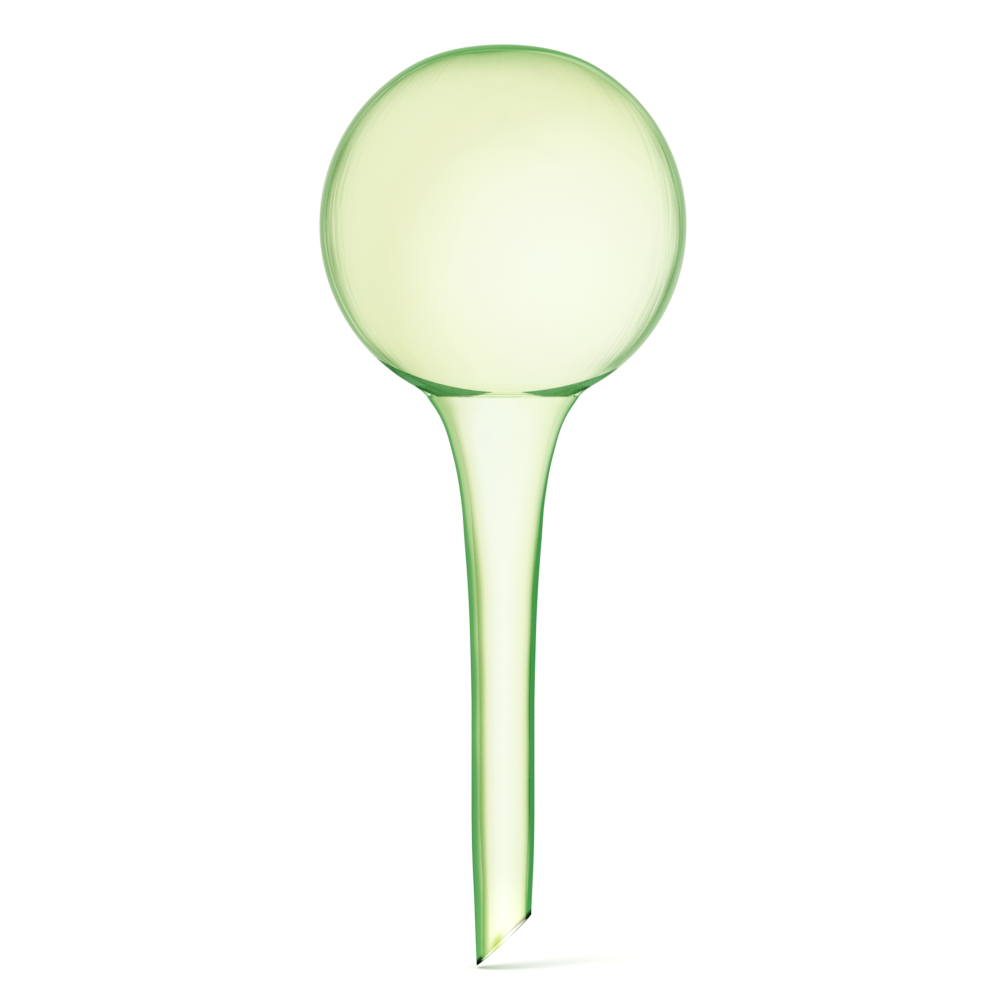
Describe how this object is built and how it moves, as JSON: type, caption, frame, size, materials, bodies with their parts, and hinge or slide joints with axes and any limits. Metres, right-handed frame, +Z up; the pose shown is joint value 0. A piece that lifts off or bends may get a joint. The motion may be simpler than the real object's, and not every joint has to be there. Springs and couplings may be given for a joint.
{
  "type": "watering globe",
  "caption": "Hollow ball reservoir bonded on a flared hollow stake with a slanted open tip, which waters a pot plant as the soil dries.",
  "frame": {"origin": "on the stem's axis, in the middle of its straight stretch", "axes": "+Z up along the stem's axis towards the ball; the slanted cut at the lower end faces down and to +X"},
  "size_m": [0.09, 0.09, 0.226],
  "materials": {
    "globe": "clear green PVC, blow moulded, glossy",
    "stem": "clear green PVC, moulded, glossy",
    "bond": "clear solvent cement, glossy"
  },
  "bodies": {
    "root": {"globe": "globe", "stem": "stem", "neck_bond": "bond"}
  },
  "joints": []
}
